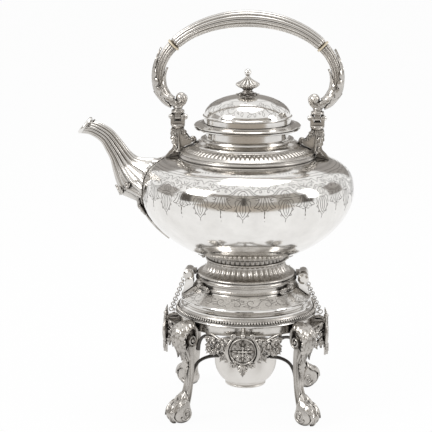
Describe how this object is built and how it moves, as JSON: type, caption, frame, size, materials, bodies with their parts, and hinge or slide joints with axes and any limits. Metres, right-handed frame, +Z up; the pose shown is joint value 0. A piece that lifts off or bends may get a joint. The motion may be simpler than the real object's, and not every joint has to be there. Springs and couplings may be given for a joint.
{
  "type": "spirit kettle on stand",
  "caption": "Swan-spouted kettle with a hinged lid and swinging arched handle, tipping on pins above a four-legged stand that holds a spirit lamp.",
  "frame": {"origin": "on the ground under the middle of the bounding box; the kettle's axis stands 31.5 mm towards +X from it", "axes": "+Z up; spout towards -X; front of the stand, where the pins are drawn out, towards -Y"},
  "size_m": [0.2754, 0.2126, 0.4033],
  "materials": {
    "polished_silver": "polished silver plate",
    "cast_silver": "cast silver plate, oxidised in the hollows",
    "dark_metal": "worn and dull",
    "ivory": null,
    "cotton": "woven cotton wick"
  },
  "bodies": {
    "stand": {"gallery": "cast_silver", "shoulder": "polished_silver", "moulding": "polished_silver", "bead_border": "cast_silver", "frieze": "polished_silver", "leg_front_left": "cast_silver", "leg_front_right": "cast_silver", "leg_back_left": "cast_silver", "leg_back_right": "cast_silver", "apron_front": "cast_silver", "apron_back": "cast_silver", "apron_left": "cast_silver", "apron_right": "cast_silver", "leaf_clasps": "polished_silver", "stand_ears": "cast_silver", "chain_eyes": "cast_silver", "chain_left": "polished_silver", "chain_right": "polished_silver", "lamp_arms": "dark_metal", "lamp_ring": "dark_metal"},
    "kettle": {"kettle_body": "polished_silver", "kettle_bowl": "polished_silver", "neck_collar": "cast_silver", "neck_skirt": "polished_silver", "neck_tube": "polished_silver", "base_plate": "cast_silver", "foot_band": "cast_silver", "kettle_foot": "cast_silver", "spout": "polished_silver", "spout_lip": "polished_silver", "spout_leaf": "cast_silver", "spout_tip_leaf": "cast_silver", "lid_hinge_ears": "cast_silver", "lid_hinge_pin": "dark_metal", "post_left": "cast_silver", "post_right": "cast_silver", "handle_pins": "polished_silver", "kettle_lugs": "cast_silver"},
    "lid": {"lid_shell": "polished_silver", "lid_flange": "polished_silver", "lid_hinge_leaf": "cast_silver", "finial_base": "cast_silver", "finial_knob": "cast_silver", "finial_ball": "polished_silver"},
    "handle": {"handle_grip": "polished_silver", "insulators": "ivory", "arm_left": "cast_silver", "arm_right": "cast_silver", "arm_scrolls": "cast_silver", "handle_tongues": "dark_metal"},
    "hinge_pin": {"hinge_pin": "polished_silver"},
    "lock_pin": {"lock_pin": "polished_silver"},
    "lamp": {"lamp_bowl": "polished_silver", "lamp_cover": "polished_silver", "wick_tube": "polished_silver", "wick": "cotton", "snuffer_pin": "dark_metal"},
    "snuffer": {"snuffer": "polished_silver"}
  },
  "joints": [
    {"name": "kettle_tilt", "type": "hinge", "parent": "stand", "child": "kettle", "pos_m": [-0.026, 0, 0.1385], "axis": [0, -1, 0], "range_deg": [0, 50]},
    {"name": "lid_hinge", "type": "hinge", "parent": "kettle", "child": "lid", "pos_m": [0.0315, 0.0564, 0.2899], "axis": [-1, 0, 0], "range_deg": [0, 95]},
    {"name": "handle_swing", "type": "hinge", "parent": "kettle", "child": "handle", "pos_m": [0.0315, 0, 0.2973], "axis": [1, 0, 0], "range_deg": [-90, 90]},
    {"name": "hinge_pin_slide", "type": "slide", "parent": "stand", "child": "hinge_pin", "axis": [0, -1, 0], "range_m": [0, 0.022], "deforming": ["chain_left"]},
    {"name": "lock_pin_slide", "type": "slide", "parent": "stand", "child": "lock_pin", "axis": [0, -1, 0], "range_m": [-0.011, 0.009], "deforming": ["chain_right"]},
    {"name": "lamp_lift", "type": "slide", "parent": "stand", "child": "lamp", "axis": [0, 0, 1], "range_m": [0, 0.02]},
    {"name": "snuffer_hinge", "type": "hinge", "parent": "lamp", "child": "snuffer", "pos_m": [0.0315, 0.011, 0.074], "axis": [-1, 0, 0], "range_deg": [0, 100]}
  ]
}
